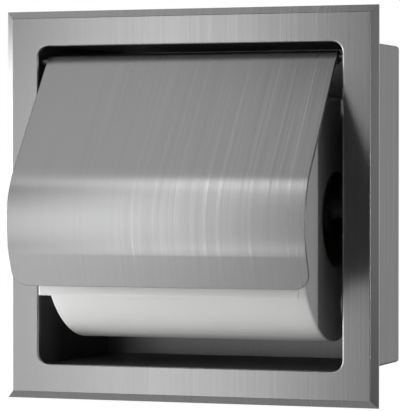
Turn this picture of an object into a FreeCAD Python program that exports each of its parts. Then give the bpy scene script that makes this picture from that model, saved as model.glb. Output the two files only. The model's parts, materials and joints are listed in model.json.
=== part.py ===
import FreeCAD, Part

# Recessed toilet paper holder: a flanged sheet-steel box let into a wall, a curved cover that swings up
# on a rod, and a telescoping spring roller that carries the paper roll.
# Frame: millimetres, +X to the right of a person facing the wall, +Y into the wall, +Z up.
# The origin is the centre of the flange's back face, which lies on the wall.

import math
import os

import Sketcher
from FreeCAD import Placement, Rotation, Vector

OUT_FOLDER = "parts"

DRIVING_SIZES = {
    # front flange
    "flange_size": 160.0,
    "flange_thick": 3.0,
    "bevel_width": 2.8,
    "bevel_depth": 1.9,
    "face_step": 0.5,
    "step_round": 0.4,
    "opening_size": 131.0,
    "opening_corner": 4.5,
    "lip_round": 0.8,
    "seat_depth": 0.5,
    "seat_gap": 1.3,
    # recess box
    "box_size": 134.0,
    "sheet": 1.0,
    "box_depth": 76.0,
    "box_bend": 1.5,
    "rear_round": 0.9,
    "groove_width": 0.8,
    "groove_depth": 0.6,
    # screw holes in the side walls
    "screw_radius": 2.25,
    "screw_depth": 30.0,
    "screw_spacing": 80.0,
    # hinge
    "rod_radius": 1.5,
    "rod_depth": 2.76,
    "rod_height": 59.4,
    "rod_clearance": 0.05,
    "clip_radius": 2.5,
    "clip_thick": 1.0,
    # cover
    "cover_width": 125.0,
    "cover_sheet": 1.2,
    "cover_slope": 37.57,
    "cover_straight": 58.1,
    "cover_bulge_radius": 35.5,
    "cover_return_slope": 20.4,
    "cover_return": 13.8,
    "cover_corner": 6.75,
    "cover_edge_round": 0.35,
    "curl_end": 210.0,
    # cover stop
    "stop_sheet": 1.2,
    "leaf_reach": 13.0,
    "leaf_width": 5.0,
    "leaf_end": 62.0,
    "tab_front": 9.5,
    "tab_depth": 6.0,
    "tab_top": 62.0,
    "tab_drop": 12.0,
    "tab_end": 57.0,
    "pad_gap": 0.1,
    # roller
    "roller_depth": 24.0,
    "roller_height": -0.4,
    "roller_half_length": 55.0,
    "outer_radius": 13.75,
    "outer_wall": 0.9,
    "outer_start": -14.0,
    "crimp_width": 1.2,
    "inner_radius": 11.95,
    "inner_wall": 0.9,
    "inner_stop": -2.0,
    "slide_clearance": 0.1,
    "collar_length": 4.0,
    "collar_start": -10.0,
    "plug_recess": 2.0,
    "plug_length": 6.0,
    "spigot_radius": 6.5,
    "spigot_length": 5.0,
    "pin_radius": 4.7,
    "pin_end": 64.6,
    "pin_round": 1.2,
    "spring_radius": 8.2,
    "spring_wire": 0.6,
    "spring_turns": 14.0,
    "spring_inset": 0.8,
    # sockets
    "socket_radius": 8.0,
    "socket_reach": 6.0,
    "socket_sheet": 1.2,
    "socket_clearance": 0.1,
    "plate_width": 16.0,
    "plate_height": 36.0,
    "rivet_spacing": 26.0,
    "rivet_radius": 1.6,
    "rivet_head_radius": 3.0,
    "rivet_head": 0.9,
    # paper
    "paper_radius": 50.0,
    "paper_width": 110.0,
    "core_radius": 19.1,
    "core_wall": 0.5,
    "core_gap": 0.3,
    "tail_width": 110.0,
    "tail_thick": 0.5,
    "tail_bottom": -36.0,
    "tail_gap": 0.3,
}

DERIVED_SIZES = {
    "flange_edge": "=flange_thick - bevel_depth - face_step",
    "face_size": "=flange_size - 2 * bevel_width",
    "seat_size": "=box_size + 2 * seat_gap",
    "bevel_angle": "=atan(bevel_width / bevel_depth)",
    "inner_size": "=box_size - 2 * sheet",
    "inner_half": "=inner_size / 2",
    "outer_half": "=box_size / 2",
    "panel_front": "=box_depth - sheet",
    "panel_land": "=panel_front + groove_depth",
    "panel_face_size": "=inner_size - 2 * groove_width",
    "curl_inner": "=rod_radius + rod_clearance",
    "curl_outer": "=curl_inner + cover_sheet",
    "inner_bulge_radius": "=cover_bulge_radius - cover_sheet",
    "rod_half": "=outer_half + clip_thick",
    "leaf_top": "=rod_height + stop_sheet / 2",
    "pad_bottom": "=leaf_top + pad_gap",
    "outer_bore": "=outer_radius - outer_wall",
    "inner_bore": "=inner_radius - inner_wall",
    "crimp_bore": "=inner_radius + slide_clearance",
    "collar_radius": "=outer_bore - slide_clearance",
    "plug_face": "=roller_half_length - plug_recess",
    "plug_back": "=plug_face - plug_length",
    "socket_bore": "=pin_radius + socket_clearance",
    "socket_plate": "=inner_half - socket_sheet",
    "socket_mouth": "=inner_half - socket_reach",
    "core_outer": "=core_radius + core_wall",
    "roll_height": "=roller_height + outer_radius + core_gap - core_radius",
    "tail_front": "=roller_depth - paper_radius - tail_gap - tail_thick",
}

doc = FreeCAD.newDocument("ToiletPaperHolder")
subparts = []


def make_sheet():
    """Writes every size into one spreadsheet, each under its own alias."""
    sheet = doc.addObject("Spreadsheet::Sheet", "Sizes")
    row = 1
    for table in (DRIVING_SIZES, DERIVED_SIZES):
        for alias, value in table.items():
            sheet.set(f"A{row}", alias)
            sheet.set(f"B{row}", str(value))
            sheet.setAlias(f"B{row}", alias)
            row += 1
    doc.recompute()
    return sheet


sizes = make_sheet()


def size(alias):
    """The sheet's value of one size, as a plain number."""
    value = sizes.get(alias)
    return float(getattr(value, "Value", value))


def formula(text):
    """Turns bare aliases in an expression into references to the sheet."""
    words = set(DRIVING_SIZES) | set(DERIVED_SIZES)
    result = ""
    word = ""
    for letter in text + " ":
        if letter.isalnum() or letter == "_":
            word += letter
            continue
        result += f"Sizes.{word}" if word in words else word
        result += letter
        word = ""
    return result.strip()


def bind(item, **properties):
    """Binds properties of an object to formulas of the sheet's sizes."""
    for name, text in properties.items():
        item.setExpression(name, formula(text))


def place(item, x="0", y="0", z="0"):
    """Binds an object's position to formulas, keeping its rotation."""
    bind(item, **{"Placement.Base.x": x, "Placement.Base.y": y, "Placement.Base.z": z})


def keep(item, label):
    """Marks an object as a finished sub-part under its node name."""
    item.Label = label
    subparts.append(item)
    return item


# ---- primitives -------------------------------------------------------------------------------------


def block(name, x_size, y_size, z_size, x, y, z):
    """A box from its lowest corner."""
    item = doc.addObject("Part::Box", name)
    bind(item, Length=x_size, Width=y_size, Height=z_size)
    place(item, x, y, z)
    return item


def bar(name, radius, length, x, y, z):
    """A cylinder along +X that starts at x."""
    item = doc.addObject("Part::Cylinder", name)
    item.Placement = Placement(Vector(), Rotation(Vector(0, 1, 0), 90))
    bind(item, Radius=radius, Height=length)
    place(item, x, y, z)
    return item


def cut(name, base, tool):
    item = doc.addObject("Part::Cut", name)
    item.Base = base
    item.Tool = tool
    return item


def fuse(name, *pieces):
    item = doc.addObject("Part::MultiFuse", name)
    item.Shapes = list(pieces)
    return item


def group(name, *pieces):
    """Identical separate solids that share one node."""
    item = doc.addObject("Part::Compound", name)
    item.Links = list(pieces)
    return item


def tube(name, radius, bore, length, x, y, z):
    """A hollow cylinder along +X that starts at x."""
    outside = bar(name + "Outside", radius, length, x, y, z)
    inside = bar(name + "Inside", bore, f"({length}) + 2", f"({x}) - 1", y, z)
    return cut(name, outside, inside)


def round_edges(name, base, radius_alias, wanted):
    """Rounds the edges of a Part object for which wanted(edge) is true."""
    doc.recompute()
    radius = size(radius_alias)
    item = doc.addObject("Part::Fillet", name)
    item.Base = base
    numbers = [n for n, edge in enumerate(base.Shape.Edges, 1) if wanted(edge)]
    item.Edges = [(n, radius, radius) for n in numbers]
    return item


# ---- sketched bodies --------------------------------------------------------------------------------


def new_body(label):
    return keep(doc.addObject("PartDesign::Body", "Body_" + label), label)


def new_sketch(body, plane_role, name):
    """A sketch on one of the body's own origin planes."""
    plane = next(o for o in body.Origin.OriginFeatures if o.Role == plane_role)
    sketch = body.newObject("Sketcher::SketchObject", name)
    sketch.AttachmentSupport = [(plane, "")]
    sketch.MapMode = "FlatFace"
    return sketch


def drive(sketch, constraint, name, text):
    """Adds a named dimension to a sketch and binds it to the sheet."""
    number = sketch.addConstraint(constraint)
    sketch.renameConstraint(number, name)
    sketch.setExpression("Constraints." + name, formula(text))


def square_sketch(body, plane_role, name, side):
    """A centred square whose side is a formula."""
    sketch = new_sketch(body, plane_role, name)
    half = 10.0
    corners = [Vector(-half, -half, 0), Vector(half, -half, 0), Vector(half, half, 0), Vector(-half, half, 0)]
    for n in range(4):
        sketch.addGeometry(Part.LineSegment(corners[n], corners[(n + 1) % 4]), False)
    for n in range(4):
        sketch.addConstraint(Sketcher.Constraint("Coincident", n, 2, (n + 1) % 4, 1))
    for n in (0, 2):
        sketch.addConstraint(Sketcher.Constraint("Horizontal", n))
    for n in (1, 3):
        sketch.addConstraint(Sketcher.Constraint("Vertical", n))
    sketch.addConstraint(Sketcher.Constraint("Symmetric", 0, 1, 2, 1, -1, 1))
    drive(sketch, Sketcher.Constraint("DistanceX", 0, 1, 0, 2, 2 * half), "Wide", side)
    drive(sketch, Sketcher.Constraint("DistanceY", 1, 1, 1, 2, 2 * half), "High", side)
    return sketch


def hole_sketch(body, name, holes, radius):
    """Circles on the YZ plane; holes is a list of (y formula, z formula)."""
    sketch = new_sketch(body, "YZ_Plane", name)
    for n, (across, up) in enumerate(holes):
        sketch.addGeometry(Part.Circle(Vector(10, 10 * n - 5, 0), Vector(0, 0, 1), 1), False)
        drive(sketch, Sketcher.Constraint("Radius", n, 1), f"Radius{n}", radius)
        drive(sketch, Sketcher.Constraint("DistanceX", -1, 1, n, 3, 10), f"Across{n}", across)
        drive(sketch, Sketcher.Constraint("DistanceY", -1, 1, n, 3, 10 * n - 5), f"Up{n}", up)
    return sketch


def pad(body, sketch, name, length, backwards=False):
    item = body.newObject("PartDesign::Pad", name)
    item.Profile = sketch
    item.Reversed = backwards
    bind(item, Length=length)
    return item


def pocket(body, sketch, name, depth):
    """Cuts a sketch to a depth, towards -Y."""
    before = solid_volume(body)
    item = body.newObject("PartDesign::Pocket", name)
    item.Profile = sketch
    item.Reversed = True
    bind(item, Length=depth)
    if solid_volume(body) >= before:
        raise RuntimeError(f"{name} cuts nothing")
    return item


def pocket_through(body, sketch, name):
    """Cuts a sketch both ways through the whole body."""
    before = solid_volume(body)
    item = body.newObject("PartDesign::Pocket", name)
    item.Profile = sketch
    item.Type = "ThroughAll"
    item.Midplane = True
    if solid_volume(body) >= before:
        raise RuntimeError(f"{name} cuts nothing")
    return item


def solid_volume(body):
    doc.recompute()
    return body.Shape.Volume


def fillet(body, name, radius, wanted):
    """Rounds the edges of the body's latest feature for which wanted(edge) is true."""
    doc.recompute()
    base = body.Tip
    names = [f"Edge{n}" for n, edge in enumerate(base.Shape.Edges, 1) if wanted(edge)]
    item = body.newObject("PartDesign::Fillet", name)
    item.Base = (base, names)
    bind(item, Radius=radius)
    return item


# ---- edge tests -------------------------------------------------------------------------------------

CLOSE = 0.01


def direction(edge):
    """The unit direction of a straight edge, or None for a curve."""
    if edge.Curve.TypeId != "Part::GeomLine":
        return None
    return edge.Curve.Direction


def runs_along(edge, axis):
    found = direction(edge)
    return found is not None and abs(found * axis) > 1 - CLOSE


def lies_at(edge, y):
    box = edge.BoundBox
    return abs(box.YMin - y) < CLOSE and abs(box.YMax - y) < CLOSE


def within_half(edge, half):
    """Whether the edge stays inside a centred square in X and Z."""
    box = edge.BoundBox
    return max(abs(box.XMin), abs(box.XMax), abs(box.ZMin), abs(box.ZMax)) < half


# ---- flange and recess box --------------------------------------------------------------------------


def make_front_frame():
    """The flange: a square plate with a raised face, a wide bevel round it and a soft-edged opening.

    A shallow seat in its back takes the front edge of the box and clears the rod's end clips.
    """
    body = new_body("front_frame")
    pad(body, square_sketch(body, "XZ_Plane", "FrameOutline", "flange_size"), "FrameEdge", "flange_edge")
    outline = square_sketch(body, "XZ_Plane", "BevelOutline", "flange_size")
    outline.setExpression("AttachmentOffset.Base.z", formula("flange_edge"))
    bevel = pad(body, outline, "FrameBevel", "bevel_depth")
    bind(bevel, TaperAngle="-bevel_angle")
    face = square_sketch(body, "XZ_Plane", "FaceOutline", "face_size")
    face.setExpression("AttachmentOffset.Base.z", formula("flange_edge + bevel_depth"))
    pad(body, face, "FrameFace", "face_step")
    front = -size("flange_thick")
    fillet(body, "FaceEdge", "step_round", lambda e: lies_at(e, front))
    pocket(body, square_sketch(body, "XZ_Plane", "SeatOutline", "seat_size"), "BoxSeat", "seat_depth")
    pocket_through(body, square_sketch(body, "XZ_Plane", "OpeningOutline", "opening_size"), "Opening")
    inside = size("opening_size") / 2 + 1
    fillet(
        body, "OpeningCorners", "opening_corner",
        lambda e: runs_along(e, Vector(0, 1, 0)) and within_half(e, inside),
    )
    fillet(body, "OpeningLip", "lip_round", lambda e: lies_at(e, front) and within_half(e, inside))


def make_box_shell():
    """The four walls of the recess, bent from one strip, with holes for the rod, screws and rivets."""
    body = new_body("box_shell")
    outline = square_sketch(body, "XZ_Plane", "BoxOutline", "box_size")
    outline.setExpression("AttachmentOffset.Base.z", formula("seat_depth"))
    pad(body, outline, "BoxBlock", "seat_depth + box_depth", True)
    fillet(body, "BoxBends", "box_bend", lambda e: runs_along(e, Vector(0, 1, 0)))
    back = size("box_depth")
    fillet(body, "RearEdges", "rear_round", lambda e: lies_at(e, back))
    pocket_through(body, square_sketch(body, "XZ_Plane", "BoxInside", "inner_size"), "BoxRecess")
    rod = [("rod_depth", "rod_height")]
    pocket_through(body, hole_sketch(body, "RodHole", rod, "rod_radius"), "RodHoles")
    screws = [("screw_depth", "-screw_spacing / 2"), ("screw_depth", "screw_spacing / 2")]
    pocket_through(body, hole_sketch(body, "ScrewHole", screws, "screw_radius"), "ScrewHoles")
    rivets = [("roller_depth", f"roller_height {sign} rivet_spacing / 2") for sign in "-+"]
    pocket_through(body, hole_sketch(body, "RivetHole", rivets, "rivet_radius"), "RivetHoles")


def make_back_panel():
    """The rear plate, welded into the walls, with a groove left round its face."""
    body = new_body("back_panel")
    outline = square_sketch(body, "XZ_Plane", "PanelOutline", "inner_size")
    outline.setExpression("AttachmentOffset.Base.z", formula("-panel_land"))
    pad(body, outline, "PanelPlate", "sheet - groove_depth", True)
    face = square_sketch(body, "XZ_Plane", "PanelFaceOutline", "panel_face_size")
    face.setExpression("AttachmentOffset.Base.z", formula("-panel_land"))
    pad(body, face, "PanelFace", "groove_depth")


# ---- cover, its hinge and its stop ------------------------------------------------------------------


def polar(centre, radius, degrees):
    angle = math.radians(degrees)
    return centre + Vector(radius * math.cos(angle), radius * math.sin(angle), 0)


def end_at(sketch, line, point):
    """Which end of a sketch line or arc lies at a point: 1 for its start, 2 for its end."""
    return min((1, 2), key=lambda end: sketch.getPoint(line, end).distanceToPoint(point))


def join(sketch, kind, first, second, point):
    """Joins two neighbours at a point: Coincident for a corner, Tangent for a smooth run."""
    ends = (first, end_at(sketch, first, point), second, end_at(sketch, second, point))
    sketch.addConstraint(Sketcher.Constraint(kind, *ends))


def cover_points():
    """The corners of the cover's section as (depth, height), and the middles of its arcs.

    The section is a curl round the rod, a straight slope, a bulge and a short return.
    Angles are measured from +Y towards +Z, and facing is the way that the outer surface looks.
    """
    rod = Vector(size("rod_depth"), size("rod_height"), 0)
    sheet, bulge = size("cover_sheet"), size("cover_bulge_radius")
    facing, facing_back = 180 - size("cover_slope"), 180 + size("cover_return_slope")
    curl_end = size("curl_end") - 360
    slope_top = polar(rod, size("curl_outer"), facing)
    slope_end = polar(slope_top, size("cover_straight"), facing + 90)
    centre = polar(slope_end, -bulge, facing)
    bulge_end = polar(centre, bulge, facing_back)
    bottom = polar(bulge_end, size("cover_return"), facing_back + 90)
    corners = [
        polar(rod, size("curl_outer"), curl_end),
        slope_top,
        slope_end,
        bulge_end,
        bottom,
        polar(bottom, -sheet, facing_back),
        polar(bulge_end, -sheet, facing_back),
        polar(slope_end, -sheet, facing),
        polar(slope_top, -sheet, facing),
        polar(rod, size("curl_inner"), curl_end),
    ]
    curl_middle, bulge_middle = (facing + curl_end) / 2, (facing + facing_back) / 2
    middles = {
        0: polar(rod, size("curl_outer"), curl_middle),
        2: polar(centre, bulge, bulge_middle),
        6: polar(centre, bulge - sheet, bulge_middle),
        8: polar(rod, size("curl_inner"), curl_middle),
    }
    return corners, middles


def cover_sketch(body):
    """The cover's section, held by dimensions from the sheet."""
    sketch = new_sketch(body, "YZ_Plane", "CoverSection")
    corners, middles = cover_points()
    count = len(corners)
    for n in range(count):
        start, end = corners[n], corners[(n + 1) % count]
        edge = Part.Arc(start, middles[n], end) if n in middles else Part.LineSegment(start, end)
        sketch.addGeometry(edge, False)
    outer_curl, slope, outer_bulge, back, edge = range(5)
    back_inside, inner_bulge, _, inner_curl, curl_lip = range(5, count)
    for n in range(count):
        smooth = n in (outer_curl, slope, outer_bulge, back_inside, inner_bulge, inner_bulge + 1)
        join(sketch, "Tangent" if smooth else "Coincident", n, (n + 1) % count, corners[(n + 1) % count])
    sketch.addConstraint(Sketcher.Constraint("Coincident", outer_curl, 3, inner_curl, 3))
    sketch.addConstraint(Sketcher.Constraint("Coincident", outer_bulge, 3, inner_bulge, 3))
    sketch.addConstraint(Sketcher.Constraint("Perpendicular", back, edge))
    sketch.addConstraint(Sketcher.Constraint("Parallel", back, back_inside))
    sketch.addConstraint(Sketcher.Constraint("PointOnObject", outer_curl, 3, curl_lip))
    for kind, name, text in (
        ("DistanceX", "RodDepth", "rod_depth"),
        ("DistanceY", "RodHeight", "rod_height"),
    ):
        drive(sketch, Sketcher.Constraint(kind, -1, 1, outer_curl, 3, size(text)), name, text)
    for line, name, text in (
        (outer_curl, "OuterCurl", "curl_outer"),
        (inner_curl, "InnerCurl", "curl_inner"),
        (outer_bulge, "OuterBulge", "cover_bulge_radius"),
        (inner_bulge, "InnerBulge", "inner_bulge_radius"),
    ):
        drive(sketch, Sketcher.Constraint("Radius", line, size(text)), name, text)
    for line, name, text in ((slope, "Slope", "cover_straight"), (back, "Return", "cover_return")):
        drive(sketch, Sketcher.Constraint("Distance", line, size(text)), name, text)
    return sketch


def lock_cover_angles(sketch):
    """Sets the way the slope, the return and the curl's lip point, measured from +Y."""
    slope, back, curl_lip = 1, 3, 9
    for line, name, degrees in (
        (slope, "SlopeAngle", 270 - size("cover_slope") - 360),
        (back, "ReturnAngle", 270 + size("cover_return_slope") - 360),
        (curl_lip, "LipAngle", size("curl_end") - 360),
    ):
        number = sketch.addConstraint(Sketcher.Constraint("Angle", line, math.radians(degrees)))
        sketch.renameConstraint(number, name)
    sketch.setExpression("Constraints.SlopeAngle", formula("(-90 - cover_slope) * 1 deg"))
    sketch.setExpression("Constraints.ReturnAngle", formula("(-90 + cover_return_slope) * 1 deg"))
    sketch.setExpression("Constraints.LipAngle", formula("(curl_end - 360) * 1 deg"))


def make_flap_cover():
    """The curved cover, bent from one sheet, with rounded bottom corners."""
    body = new_body("flap_cover")
    sketch = cover_sketch(body)
    lock_cover_angles(sketch)
    sheet = pad(body, sketch, "CoverSheet", "cover_width")
    sheet.Midplane = True
    bottom, bottom_inside = cover_points()[0][4:6]
    side = size("cover_width") / 2

    def bottom_corner(edge):
        box = edge.BoundBox
        at_side = abs(abs(box.Center.x) - side) < CLOSE and box.XLength < CLOSE
        middle = (bottom + bottom_inside) * 0.5
        return at_side and box.Center.distanceToPoint(Vector(box.Center.x, middle.x, middle.y)) < CLOSE

    fillet(body, "CoverCorners", "cover_corner", bottom_corner)
    clear_of_curl = size("rod_height") - size("curl_outer")

    def rim(edge):
        box = edge.BoundBox
        at_side = box.XLength < CLOSE and abs(abs(box.Center.x) - side) < CLOSE
        at_bottom = box.ZMax < bottom_inside.y + size("cover_corner")
        through_sheet = edge.Length < size("cover_sheet") + CLOSE
        return (at_side or at_bottom) and box.ZMax < clear_of_curl and not through_sheet

    fillet(body, "CoverRim", "cover_edge_round", rim)


def make_hinge():
    """The rod across the box, and the clip that holds each of its ends outside the wall."""
    rod = bar("RodBar", "rod_radius", "2 * rod_half", "-rod_half", "rod_depth", "rod_height")
    keep(rod, "hinge_rod")
    clips = [
        tube(f"Clip{side}", "clip_radius", "rod_radius", "clip_thick", start, "rod_depth", "rod_height")
        for side, start in (("Left", "-outer_half - clip_thick"), ("Right", "outer_half"))
    ]
    keep(group("HingeClipPair", *clips), "hinge_clips")


def make_stop(side):
    """On one side: a tongue behind the cover's curl, and the padded tab on the wall that stops it."""
    end = "right" if side > 0 else "left"
    name = "Stop" + end.title()

    def start(near, far):
        return near if side > 0 else f"-({far})"

    leaf_start = start("leaf_end - leaf_width", "leaf_end")
    plate = block(
        name + "LeafPlate", "leaf_width", "leaf_reach", "stop_sheet",
        leaf_start, "rod_depth", "leaf_top - stop_sheet",
    )
    curl = bar(
        name + "LeafCurl", "curl_outer", "leaf_width + 2",
        f"({leaf_start}) - 1", "rod_depth", "rod_height",
    )
    keep(cut(name + "Leaf", plate, curl), f"stop_leaf_{end}")

    wall_plate = block(
        name + "WallPlate", "stop_sheet", "tab_depth", "tab_drop",
        start("inner_half - stop_sheet", "inner_half"), "tab_front", "tab_top - tab_drop",
    )
    shelf = block(
        name + "Shelf", "inner_half - tab_end", "tab_depth", "stop_sheet",
        start("tab_end", "inner_half"), "tab_front", "tab_top - stop_sheet",
    )
    keep(fuse(name + "Tab", wall_plate, shelf), f"stop_tab_{end}")
    pad_block = block(
        name + "Pad", "leaf_width", "tab_depth", "tab_top - stop_sheet - pad_bottom",
        start("tab_end", "tab_end + leaf_width"), "tab_front", "pad_bottom",
    )
    return pad_block


def make_stops():
    keep(group("StopPadPair", *[make_stop(side) for side in (-1, 1)]), "stop_pads")


# ---- spring roller and its sockets ------------------------------------------------------------------

ROLLER = ("roller_depth", "roller_height")


def make_roller_tubes():
    """Two tubes that telescope: the right one's crimped end holds in the ring on the left one's end."""
    barrel_length = "roller_half_length - outer_start"
    barrel = tube("Barrel", "outer_radius", "outer_bore", barrel_length, "outer_start", *ROLLER)
    crimp = tube("Crimp", "outer_radius", "crimp_bore", "crimp_width", "outer_start", *ROLLER)
    keep(fuse("OuterTube", barrel, crimp), "roller_outer_tube")
    sleeve_length = "inner_stop + roller_half_length"
    sleeve = tube("Sleeve", "inner_radius", "inner_bore", sleeve_length, "-roller_half_length", *ROLLER)
    keep(sleeve, "roller_inner_tube")
    collar = tube("Collar", "collar_radius", "inner_radius", "collar_length", "collar_start", *ROLLER)
    keep(collar, "roller_collar")


def make_plug(side, bore):
    """An end plug: a disc in the tube, a spigot for the spring and a round-nosed pin."""
    name = "PlugRight" if side > 0 else "PlugLeft"

    def piece(part, radius, near, far):
        start = near if side > 0 else f"-({far})"
        return bar(name + part, radius, f"({far}) - ({near})", start, *ROLLER)

    disc = piece("Disc", bore, "plug_back", "plug_face")
    spigot = piece("Spigot", "spigot_radius", "plug_back - spigot_length", "plug_back")
    pin = piece("Pin", "pin_radius", "plug_face", "pin_end")
    tip = size("pin_end")
    nose = round_edges(name + "Nose", pin, "pin_round", lambda e: abs(abs(e.BoundBox.Center.x) - tip) < CLOSE)
    return fuse(name, disc, spigot, nose)


def make_spring():
    """A compression spring between the two plugs."""
    wire = size("spring_wire")
    travel = 2 * (size("plug_back") - size("spring_inset"))
    helix = Part.makeHelix(travel / size("spring_turns"), travel, size("spring_radius"))
    section = Part.Wire(Part.makeCircle(wire, Vector(size("spring_radius"), 0, 0), Vector(0, 1, 0)))
    coil = Part.Wire(helix).makePipeShell([section], True, True)
    spring = doc.addObject("Part::Feature", "SpringCoil")
    spring.Shape = coil
    spring.Placement = Placement(Vector(), Rotation(Vector(0, 1, 0), 90))
    place(spring, "-plug_back + spring_inset", *ROLLER)
    keep(spring, "roller_spring")


def make_socket(side):
    """A cup on the side wall with a plate behind it for two rivets."""
    name = "SocketRight" if side > 0 else "SocketLeft"

    def start(near, far):
        return near if side > 0 else f"-({far})"

    plate_start = start("socket_plate", "inner_half")
    plate = block(
        name + "Plate", "socket_sheet", "plate_width", "plate_height",
        plate_start, "roller_depth - plate_width / 2", "roller_height - plate_height / 2",
    )
    cup = bar(name + "Cup", "socket_radius", "socket_reach", start("socket_mouth", "inner_half"), *ROLLER)
    bore_length = "socket_reach - socket_sheet + 1"
    bore = bar(name + "Bore", "socket_bore", bore_length, start("socket_mouth - 1", "socket_plate"), *ROLLER)
    holes = [
        bar(
            f"{name}Hole{n}", "rivet_radius", "socket_sheet + 2", start("socket_plate - 1", "inner_half + 1"),
            "roller_depth", f"roller_height {sign} rivet_spacing / 2",
        )
        for n, sign in enumerate("-+")
    ]
    solid = fuse(name + "Solid", plate, cup)
    keep(cut(name, solid, fuse(name + "Holes", bore, *holes)), "socket_right" if side > 0 else "socket_left")


def make_rivet(name, side, sign):
    """A rivet through a socket's plate and the wall, with a head at each end."""
    height = f"roller_height {sign} rivet_spacing / 2"

    def piece(part, radius, near, far):
        start = near if side > 0 else f"-({far})"
        return bar(name + part, radius, f"({far}) - ({near})", start, "roller_depth", height)

    shank = piece("Shank", "rivet_radius", "socket_plate", "outer_half")
    inside = piece("Inside", "rivet_head_radius", "socket_plate - rivet_head", "socket_plate")
    outside = piece("Outside", "rivet_head_radius", "outer_half", "outer_half + rivet_head")
    return fuse(name, shank, inside, outside)


def make_sockets():
    for side in (-1, 1):
        make_socket(side)
    places = [(side, n, sign) for side in (-1, 1) for n, sign in enumerate("-+")]
    rivets = [make_rivet(f"Rivet{side + 1}{n}", side, sign) for side, n, sign in places]
    keep(group("SocketRivetSet", *rivets), "socket_rivets")


# ---- paper ------------------------------------------------------------------------------------------


def make_paper():
    """The roll on its cardboard core, hanging on the roller, and the loose end in front of it."""
    roll = ("roller_depth", "roll_height")
    core = tube("Core", "core_outer", "core_radius", "paper_width", "-paper_width / 2", *roll)
    keep(core, "cardboard_core")
    paper = tube("Paper", "paper_radius", "core_outer", "paper_width", "-paper_width / 2", *roll)
    keep(paper, "paper_roll")
    tail = block(
        "Tail", "tail_width", "tail_thick", "roll_height - tail_bottom",
        "-tail_width / 2", "tail_front", "tail_bottom",
    )
    keep(tail, "paper_tail")


# ---- build and write --------------------------------------------------------------------------------


def check_document():
    """Stops if any object failed or any sub-part isn't sound."""
    doc.recompute()
    for item in doc.Objects:
        failed = {"Invalid", "Error"} & set(item.State)
        if failed:
            raise RuntimeError(f"{item.Label} is {failed}")
    for item in subparts:
        if item.Shape.isNull() or not item.Shape.isValid() or not item.Shape.Solids:
            raise RuntimeError(f"{item.Label} has no sound solid")


def write_parts():
    os.makedirs(OUT_FOLDER, exist_ok=True)
    for item in subparts:
        item.Shape.exportStep(f"{OUT_FOLDER}/{item.Label}.step")
        box = item.Shape.BoundBox
        extent = " ".join(
            f"{low:.2f}..{high:.2f}"
            for low, high in ((box.XMin, box.XMax), (box.YMin, box.YMax), (box.ZMin, box.ZMax))
        )
        print(f"{item.Label:20s} {item.Shape.Volume:10.1f} mm3  {extent}")


make_front_frame()
make_box_shell()
make_back_panel()
make_flap_cover()
make_hinge()
make_stops()
make_roller_tubes()
keep(make_plug(1, "outer_bore"), "roller_right_plug")
keep(make_plug(-1, "inner_bore"), "roller_left_plug")
make_spring()
make_sockets()
make_paper()
check_document()
write_parts()
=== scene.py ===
"""Looks of a recessed toilet paper holder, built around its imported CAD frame.

Brushed steel flange and swing-up cover, satin steel recess box, telescoping spring roller and a tissue roll.
"""

import json
import math

import bmesh
import bpy
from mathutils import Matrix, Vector, noise


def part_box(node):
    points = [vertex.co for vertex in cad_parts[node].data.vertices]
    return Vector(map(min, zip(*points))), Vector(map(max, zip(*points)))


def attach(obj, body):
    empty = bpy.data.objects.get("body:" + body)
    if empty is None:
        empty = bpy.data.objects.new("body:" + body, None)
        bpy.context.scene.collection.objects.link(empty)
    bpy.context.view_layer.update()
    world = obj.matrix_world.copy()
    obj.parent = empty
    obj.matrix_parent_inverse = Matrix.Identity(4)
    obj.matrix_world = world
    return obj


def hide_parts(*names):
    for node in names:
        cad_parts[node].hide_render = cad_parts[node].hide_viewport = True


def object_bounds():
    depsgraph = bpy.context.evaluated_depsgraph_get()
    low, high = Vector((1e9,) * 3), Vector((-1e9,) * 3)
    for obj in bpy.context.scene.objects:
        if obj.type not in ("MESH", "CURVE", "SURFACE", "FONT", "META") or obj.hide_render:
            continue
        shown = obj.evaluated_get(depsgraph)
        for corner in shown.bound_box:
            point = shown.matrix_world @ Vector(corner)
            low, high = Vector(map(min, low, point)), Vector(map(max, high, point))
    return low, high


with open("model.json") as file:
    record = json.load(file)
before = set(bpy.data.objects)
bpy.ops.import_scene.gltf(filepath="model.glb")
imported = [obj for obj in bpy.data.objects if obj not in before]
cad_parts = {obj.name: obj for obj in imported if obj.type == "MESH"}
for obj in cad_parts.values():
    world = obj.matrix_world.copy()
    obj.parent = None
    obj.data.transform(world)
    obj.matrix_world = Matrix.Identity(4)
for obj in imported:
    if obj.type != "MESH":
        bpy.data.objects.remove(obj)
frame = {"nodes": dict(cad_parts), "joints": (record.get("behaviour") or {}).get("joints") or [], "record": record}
CAD_LOW, CAD_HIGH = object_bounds()
NODES = frame["nodes"]
JOINTS = {joint["name"]: joint for joint in frame["joints"]}
MM = 0.001

# ---------------------------------------------------------------- camera

CAMERA_AZIMUTH = math.radians(19.845)
CAMERA_ELEVATION = math.radians(0.792)
CAMERA_PLACE = Vector((0.36844, -1.00825, 0.01495))
CAMERA_LENS = 231.69
CAMERA_SENSOR = 36.0


def make_camera():
    """The camera of the photograph: long lens, to the right of the holder and level with it."""
    data = bpy.data.cameras.new("camera")
    data.lens = CAMERA_LENS
    data.sensor_width = CAMERA_SENSOR
    data.clip_start, data.clip_end = 0.05, 50.0
    camera = bpy.data.objects.new("camera", data)
    flat = math.cos(CAMERA_ELEVATION)
    forward = Vector((-math.sin(CAMERA_AZIMUTH) * flat, math.cos(CAMERA_AZIMUTH) * flat,
                      -math.sin(CAMERA_ELEVATION)))
    camera.location = CAMERA_PLACE
    camera.rotation_mode = "QUATERNION"
    camera.rotation_quaternion = forward.to_track_quat("-Z", "Y")
    bpy.context.scene.collection.objects.link(camera)
    bpy.context.scene.camera = camera


# ---------------------------------------------------------------- node helpers

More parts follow.
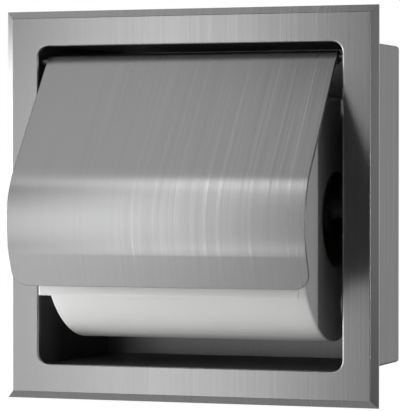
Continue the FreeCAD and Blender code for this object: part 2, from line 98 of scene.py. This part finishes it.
class Shader:
    """Builds one procedural material around a Principled BSDF."""

    def __init__(self, name, roughness, metallic=0.0):
        self.material = bpy.data.materials.new(name)
        self.material.use_nodes = True
        self.tree = self.material.node_tree
        self.bsdf = self.tree.nodes["Principled BSDF"]
        self.bsdf.inputs["Roughness"].default_value = roughness
        self.bsdf.inputs["Metallic"].default_value = metallic
        self.place = self.tree.nodes.new("ShaderNodeTexCoord").outputs["Object"]

    def node(self, kind, inputs=None, **settings):
        """Adds a node; inputs maps socket names or numbers to values or to other nodes' outputs."""
        made = self.tree.nodes.new(kind)
        for name, value in settings.items():
            setattr(made, name, value)
        for key, value in (inputs or {}).items():
            if isinstance(value, bpy.types.NodeSocket):
                self.tree.links.new(value, made.inputs[key])
            else:
                made.inputs[key].default_value = value
        return made

    def link(self, output, socket):
        self.tree.links.new(output, self.bsdf.inputs[socket])

    def scaled(self, scale, offset=(0, 0, 0)):
        """Object coordinates times scale, so that a texture may be stretched along one axis."""
        return self.node("ShaderNodeMapping", {"Vector": self.place, "Scale": scale, "Location": offset}).outputs[0]

    def noise(self, scale, detail=3.0, rough=0.55, offset=(0, 0, 0)):
        """Noise whose cells per metre along X, Y and Z are scale."""
        return self.node("ShaderNodeTexNoise", {"Vector": self.scaled(scale, offset), "Scale": 1.0,
                                                "Detail": detail, "Roughness": rough}).outputs["Fac"]

    def math(self, operation, a, b=0.0):
        return self.node("ShaderNodeMath", {0: a, 1: b}, operation=operation).outputs[0]

    def spread(self, value, low, high):
        """Maps 0..1 to low..high."""
        return self.node("ShaderNodeMapRange", {"Value": value, "To Min": low, "To Max": high}).outputs[0]

    def grey(self, value, tint=(1.0, 1.0, 1.0)):
        """A colour whose brightness is value."""
        parts = [self.math("MULTIPLY", value, share) for share in tint]
        return self.node("ShaderNodeCombineColor", {0: parts[0], 1: parts[1], 2: parts[2]}).outputs[0]

    def bump(self, height, distance, strength=1.0):
        made = self.node("ShaderNodeBump", {"Height": height, "Strength": strength, "Distance": distance})
        self.link(made.outputs[0], "Normal")


def brushed(name, level, roughness, across, anisotropy=0.6, contrast=0.10, along=(0, 14, 14), tint=(1, 1, 1.01)):
    """Satin steel brushed at right angles to `across`, the direction its reflections are spread in.

    The strokes are fine, with broader ones among them, and lie heavier on one side than on the other.
    """
    shader = Shader(name, roughness, 1.0)
    fine = shader.noise([a or BRUSH_FINE for a in along], 3.0, 0.6)
    broad = shader.noise([a / 3 or BRUSH_BROAD for a in along], 2.0, 0.5, (3.1, 1.7, 2.3))
    cloud = shader.noise((16, 16, 16), 2.0, 0.5)
    both = shader.math("ADD", shader.math("MULTIPLY", fine, 0.6), shader.math("MULTIPLY", broad, 0.4))
    stroke = shader.math("SUBTRACT", both, 0.5)
    side = shader.node("ShaderNodeSeparateXYZ", {0: shader.place}).outputs[0]
    weight = shader.node("ShaderNodeMapRange", {"Value": side, "From Min": -BRUSH_REACH, "From Max": BRUSH_REACH,
                                                "To Min": 0.35, "To Max": 1.9}).outputs[0]
    weight = shader.math("MULTIPLY", weight, shader.spread(cloud, 0.5, 1.5))
    stroke = shader.math("MULTIPLY", stroke, weight)
    shade = shader.math("ADD", shader.math("MULTIPLY", stroke, 4 * contrast * level), level)
    shader.link(shader.grey(shade, tint), "Base Color")
    shader.link(shader.math("SUBTRACT", roughness, shader.math("MULTIPLY", stroke, 0.12)), "Roughness")
    shader.bsdf.inputs["Anisotropic"].default_value = anisotropy
    tangent = shader.node("ShaderNodeCombineXYZ", {0: across[0], 1: across[1], 2: across[2]})
    shader.link(tangent.outputs[0], "Tangent")
    shader.bump(stroke, 0.0015 * MM)
    return shader.material


def plain(name, level, roughness, tint=(1, 1, 1), metallic=0.0, grain=900.0, contrast=0.08, depth=0.05):
    """A moulded or pressed surface with a fine even grain."""
    shader = Shader(name, roughness, metallic)
    grain_noise = shader.noise((grain, grain, grain), 5.0, 0.6)
    cloud = shader.noise((40, 40, 40), 2.0, 0.5)
    both = shader.math("ADD", shader.math("MULTIPLY", grain_noise, 0.5), shader.math("MULTIPLY", cloud, 0.5))
    shader.link(shader.grey(shader.spread(both, level * (1 - contrast), level * (1 + contrast)), tint), "Base Color")
    shader.link(shader.spread(both, roughness + 0.08, roughness - 0.08), "Roughness")
    shader.bump(grain_noise, depth * MM)
    return shader.material


def paper_end(name, level, axis_y, axis_z):
    """The end of a roll of tissue: hundreds of thin wound layers round the axis."""
    shader = Shader(name, 0.95)
    centred = shader.node("ShaderNodeVectorMath", {0: shader.place, 1: (0, -axis_y, -axis_z)}, operation="ADD")
    parts = shader.node("ShaderNodeSeparateXYZ", {0: centred.outputs[0]}).outputs
    flat = shader.node("ShaderNodeCombineXYZ", {0: 0.0, 1: parts[1], 2: parts[2]}).outputs[0]
    radius = shader.node("ShaderNodeVectorMath", {0: flat}, operation="LENGTH").outputs["Value"]
    layers = shader.node("ShaderNodeCombineXYZ", {0: radius, 1: 0.0, 2: 0.0}).outputs[0]
    fine = shader.node("ShaderNodeTexNoise", {"Vector": layers, "Scale": 2600.0, "Detail": 4.0}).outputs["Fac"]
    cloud = shader.noise((180, 180, 180), 3.0, 0.6)
    both = shader.math("ADD", shader.math("MULTIPLY", fine, 0.7), shader.math("MULTIPLY", cloud, 0.3))
    shader.link(shader.grey(shader.spread(both, level * 0.86, level * 1.06), PAPER_TINT), "Base Color")
    shader.bump(both, 0.12 * MM)
    return shader.material


def tissue(name, level):
    """Soft tissue with fine crepe lines across the web and a little loft."""
    shader = Shader(name, 0.95)
    crepe = shader.noise((220, 3800, 3800), 3.0, 0.6)
    fibre = shader.noise((1500, 1500, 1500), 4.0, 0.7)
    loft = shader.noise((70, 70, 70), 2.0, 0.5)
    both = shader.math("ADD", shader.math("MULTIPLY", crepe, 0.5), shader.math("MULTIPLY", fibre, 0.5))
    shader.link(shader.grey(shader.spread(shader.math("ADD", shader.math("MULTIPLY", both, 0.5),
                                                      shader.math("MULTIPLY", loft, 0.5)),
                                          level * 0.97, level * 1.03), PAPER_TINT), "Base Color")
    shader.bsdf.inputs["Sheen Weight"].default_value = 0.15
    shader.bsdf.inputs["Sheen Roughness"].default_value = 0.6
    shader.bump(both, 0.03 * MM)
    return shader.material


BRUSH_FINE = 2000.0
BRUSH_BROAD = 800.0
BRUSH_REACH = 0.07
PAPER_TINT = (1.0, 1.0, 0.99)
STEEL_ACROSS_X = (1.0, 0.0, 0.0)
STEEL_ACROSS_Y = (0.0, 1.0, 0.0)

MATERIALS = {
    "frame_steel": brushed("frame_steel", 0.28, 0.30, STEEL_ACROSS_X, contrast=0.10),
    "cover_steel": brushed("cover_steel", 0.30, 0.30, STEEL_ACROSS_X, contrast=0.055),
    "box_steel": brushed("box_steel", 0.15, 0.38, STEEL_ACROSS_Y, along=(14, 0, 14)),
    "panel_steel": brushed("panel_steel", 0.18, 0.36, STEEL_ACROSS_X, contrast=0.10),
    "socket_steel": plain("socket_steel", 0.25, 0.35, metallic=1.0),
    # The hinge rod's steel is set dark (0.10) as painted shade: it keeps the rod ends dim where the key light reaches
    # them.
    "rod_steel": plain("rod_steel", 0.10, 0.45, metallic=1.0),
    "roller_steel": plain("roller_steel", 0.35, 0.3, metallic=1.0),
    "spring_steel": plain("spring_steel", 0.3, 0.35, metallic=1.0),
    "plug_plastic": plain("plug_plastic", 0.1, 0.45),
    "pad_rubber": plain("pad_rubber", 0.03, 0.8),
    "paper": tissue("paper", 0.82),
    "cardboard": plain("cardboard", 0.4, 0.85, tint=(1.0, 0.85, 0.68)),
}


def dress_nodes():
    """Gives every CAD node the material of its slot in the record."""
    for row in frame["record"]["subparts"]:
        node = NODES[row["node"]]
        node.data.materials.clear()
        node.data.materials.append(MATERIALS[row["material_slot"]])
    NODES["back_panel"].data.materials[0] = MATERIALS["panel_steel"]


# ---------------------------------------------------------------- paper

ROLL_STEPS = 192
ROLL_SLICES = 22
ROLL_RINGS = 26
ROLL_EDGE = 0.9 * MM
ROLL_DENT = 0.35 * MM
TAIL_THICK = 0.22 * MM
TAIL_WRAP = math.radians(14)
TAIL_COLUMNS = 220
TAIL_ROWS = 44


def roll_profile(core, outside, half):
    """The roll's section as (x, radius, is it on an end), from one end of the bore round to the other."""
    rings = [core + (outside - ROLL_EDGE - core) * n / ROLL_RINGS for n in range(ROLL_RINGS + 1)]
    left = [(-half, radius, True) for radius in rings]
    turns = [math.radians(15 * n) for n in range(1, 7)]
    left_edge = [(-half + ROLL_EDGE * (1 - math.cos(t)), outside - ROLL_EDGE * (1 - math.sin(t)), False) for t in turns]
    reach = half - ROLL_EDGE
    face = [(-reach + 2 * reach * n / ROLL_SLICES, outside, False) for n in range(1, ROLL_SLICES)]
    half_way = left + left_edge
    return half_way + face + [(-x, radius, end) for x, radius, end in reversed(half_way)]


def make_paper_roll():
    """The wound roll: softened rims, a slightly uneven web and ends whose layers stand a hair in or out."""
    low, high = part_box("paper_roll")
    core = (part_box("cardboard_core")[1].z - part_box("cardboard_core")[0].z) / 2
    centre_y, centre_z = (low.y + high.y) / 2, (low.z + high.z) / 2
    outside, half = (high.z - low.z) / 2, (high.x - low.x) / 2
    profile = roll_profile(core, outside, half)
    mesh = bmesh.new()
    loops = []
    for x, radius, on_end in profile:
        loop = []
        for step in range(ROLL_STEPS):
            turn = 2 * math.pi * step / ROLL_STEPS
            across, up = math.cos(turn), math.sin(turn)
            if on_end:
                depth = noise.noise(Vector((radius * 420, x * 9, 0.3 * turn))) + 1
                point_x, point_radius = x - math.copysign(depth * 0.10 * MM, x), radius
            else:
                lump = noise.noise(Vector((x * 28, across * 2.2, up * 2.2))) + 1
                point_x, point_radius = x, radius - lump * 0.5 * ROLL_DENT
            loop.append(mesh.verts.new((point_x, centre_y + point_radius * across, centre_z + point_radius * up)))
        loops.append(loop)
    ends = [end for _, _, end in profile]
    for n in range(len(loops)):
        following = (n + 1) % len(loops)
        on_end = ends[n] and ends[following] and following != 0
        for step in range(ROLL_STEPS):
            beside = (step + 1) % ROLL_STEPS
            face = mesh.faces.new((loops[n][step], loops[n][beside], loops[following][beside], loops[following][step]))
            face.smooth = True
            face.material_index = 1 if on_end else 0
    bmesh.ops.recalc_face_normals(mesh, faces=mesh.faces)
    roll = add_mesh("tissue_roll", mesh)
    roll.data.materials.append(MATERIALS["paper"])
    roll.data.materials.append(paper_end("paper_layers", 0.74, centre_y, centre_z))
    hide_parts("paper_roll")
    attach(roll, "roll")
    return roll


def add_mesh(name, mesh):
    """Turns a finished bmesh into an object in the scene."""
    data = bpy.data.meshes.new(name)
    mesh.to_mesh(data)
    mesh.free()
    made = bpy.data.objects.new(name, data)
    bpy.context.scene.collection.objects.link(made)
    return made


def make_paper_tail(roll):
    """The loose end: it leaves the front of the roll and hangs straight down to a torn edge."""
    low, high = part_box("paper_tail")
    roll_low, roll_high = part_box("paper_roll")
    centre_y = (roll_low.y + roll_high.y) / 2
    front = (low.y + high.y) / 2
    radius = centre_y - front
    roll_radius = (roll_high.z - roll_low.z) / 2
    wrap, drop = radius * TAIL_WRAP, high.z - low.z
    mesh = bmesh.new()
    rows = []
    for row in range(TAIL_ROWS + 1):
        share = row / TAIL_ROWS
        travel = (wrap + drop) * share - wrap
        line = []
        for column in range(TAIL_COLUMNS + 1):
            x = low.x + (high.x - low.x) * column / TAIL_COLUMNS
            if travel < 0:
                turn = -travel / radius
                sunk = radius - (radius - roll_radius + TAIL_THICK) * -travel / wrap
                y, z = centre_y - sunk * math.cos(turn), high.z + sunk * math.sin(turn)
            else:
                sway = noise.noise(Vector((x * 14, 0, travel * 30)))
                y = front + (0.18 * sway - 0.05) * MM * min(1.0, travel / 0.01)
                tear = 0.22 * MM * noise.noise(Vector((x * 900, 5, 0))) * share ** 8
                z = high.z - travel + tear
            line.append(mesh.verts.new((x, y, z)))
        rows.append(line)
    for row in range(TAIL_ROWS):
        for column in range(TAIL_COLUMNS):
            face = mesh.faces.new((rows[row][column], rows[row + 1][column],
                                   rows[row + 1][column + 1], rows[row][column + 1]))
            face.smooth = True
    tail = add_mesh("tissue_end", mesh)
    tail.data.materials.append(MATERIALS["paper"])
    thick = tail.modifiers.new("thickness", "SOLIDIFY")
    thick.thickness = TAIL_THICK
    thick.offset = 0.0
    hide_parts("paper_tail")
    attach(tail, "housing")
    return tail


# ---------------------------------------------------------------- studio

FLOOR_DROP = 0.27
FLOOR_LIFT = 0.96
WORLD_LEVEL = 0.09
DIFFUSE_SHARE = 0.5
# direction of each soft glow of the studio walls, the cosines where it starts and is full, and its level
GLOWS = (
    ((0.90, -0.43, 0.0), 0.60, 0.97, 0.28),
    ((-0.98, 0.19, 0.0), 0.60, 0.95, 0.20),
)


def white_world():
    """White to the camera; soft glows on grey, dimmer for diffuse light than in reflections."""
    world = bpy.data.worlds.new("studio")
    bpy.context.scene.world = world
    world.use_nodes = True
    tree = world.node_tree

    def node(kind, operation, a, b):
        made = tree.nodes.new(kind)
        made.operation = operation
        for number, value in enumerate((a, b)):
            if isinstance(value, bpy.types.NodeSocket):
                tree.links.new(value, made.inputs[number])
            else:
                made.inputs[number].default_value = value
        return made

    def combine(operation, a, b):
        return node("ShaderNodeMath", operation, a, b).outputs[0]

    way = tree.nodes.new("ShaderNodeTexCoord").outputs["Generated"]
    level = WORLD_LEVEL
    for direction, start, full, amount in GLOWS:
        cosine = node("ShaderNodeVectorMath", "DOT_PRODUCT", way, Vector(direction).normalized()).outputs["Value"]
        glow = tree.nodes.new("ShaderNodeMapRange")
        glow.interpolation_type = "SMOOTHSTEP"
        glow.inputs["From Min"].default_value = start
        glow.inputs["From Max"].default_value = full
        glow.inputs["To Max"].default_value = amount
        tree.links.new(cosine, glow.inputs["Value"])
        level = combine("ADD", glow.outputs[0], level)
    path = tree.nodes.new("ShaderNodeLightPath").outputs
    mirrored = combine("MAXIMUM", path["Is Glossy Ray"], path["Is Transmission Ray"])
    share = combine("ADD", combine("MULTIPLY", mirrored, 1 - DIFFUSE_SHARE), DIFFUSE_SHARE)
    strength = combine("MAXIMUM", combine("MULTIPLY", level, share), path["Is Camera Ray"])
    tree.links.new(strength, tree.nodes["Background"].inputs["Strength"])
    tree.nodes["Background"].inputs["Color"].default_value = (1, 1, 1, 1)


def make_floor():
    """A pale floor under the holder: white to the camera, with the holder's soft shadow kept."""
    drop = CAD_LOW.z - FLOOR_DROP
    sheet = bmesh.new()
    side = 6.0
    corners = [sheet.verts.new((x * side, y * side, drop)) for x, y in ((-1, -1), (1, -1), (1, 1), (-1, 1))]
    sheet.faces.new(corners)
    mesh = bpy.data.meshes.new("floor")
    sheet.to_mesh(mesh)
    sheet.free()
    floor = bpy.data.objects.new("floor", mesh)
    bpy.context.scene.collection.objects.link(floor)
    shader = Shader("floor", 0.9)
    cloud = shader.noise((3, 3, 3), 2.0)
    shader.link(shader.grey(shader.spread(cloud, 0.78, 0.82)), "Base Color")
    path = shader.tree.nodes.new("ShaderNodeLightPath").outputs
    shader.bsdf.inputs["Emission Color"].default_value = (1, 1, 1, 1)
    shader.link(shader.math("MULTIPLY", path["Is Camera Ray"], FLOOR_LIFT), "Emission Strength")
    mesh.materials.append(shader.material)


def area_light(name, azimuth, elevation, distance, aim, width, height, radiance):
    """A softbox at that bearing and distance from aim, facing it. Radiance 1 looks white."""
    data = bpy.data.lights.new(name, "AREA")
    data.shape = "RECTANGLE"
    data.size, data.size_y = width, height
    data.energy = radiance * width * height * math.pi
    light = bpy.data.objects.new(name, data)
    a, e = math.radians(azimuth), math.radians(elevation)
    away = Vector((math.sin(a) * math.cos(e), -math.cos(a) * math.cos(e), math.sin(e)))
    light.location = Vector(aim) + away * distance
    light.rotation_mode = "QUATERNION"
    light.rotation_quaternion = (-away).to_track_quat("-Z", "Y")
    bpy.context.scene.collection.objects.link(light)
    return light


make_camera()
dress_nodes()
make_paper_tail(make_paper_roll())
white_world()
make_floor()
area_light("key", -21, 8, 0.35, (0, 0, 0), 0.10, 0.70, 3.2)
area_light("key_foot", -21, -38, 0.35, (0, 0, 0), 0.10, 0.16, 0.4)
area_light("side", -80, -2, 0.45, (0, 0, -0.02), 0.22, 0.24, 6.0)
area_light("left", -62, -2, 0.45, (0, 0, -0.02), 0.22, 0.24, 5.5)
area_light("under", -45, -35, 0.32, (0, 0, -0.03), 0.15, 0.12, 1.1)
area_light("top", -30, 64, 0.30, (-0.07, -0.02, 0.03), 0.25, 0.25, 0.45)
area_light("top_left", -22, 64, 0.40, (-0.14, -0.02, 0.03), 0.30, 0.30, 0.55)
area_light("edge", 82, 0, 0.60, (0.06, -0.01, 0), 0.04, 0.30, 18.5)
area_light("rear", 160, 5, 0.45, (0.07, 0.04, 0), 0.60, 0.50, 1.02)

bpy.context.scene.view_settings.view_transform = "Standard"
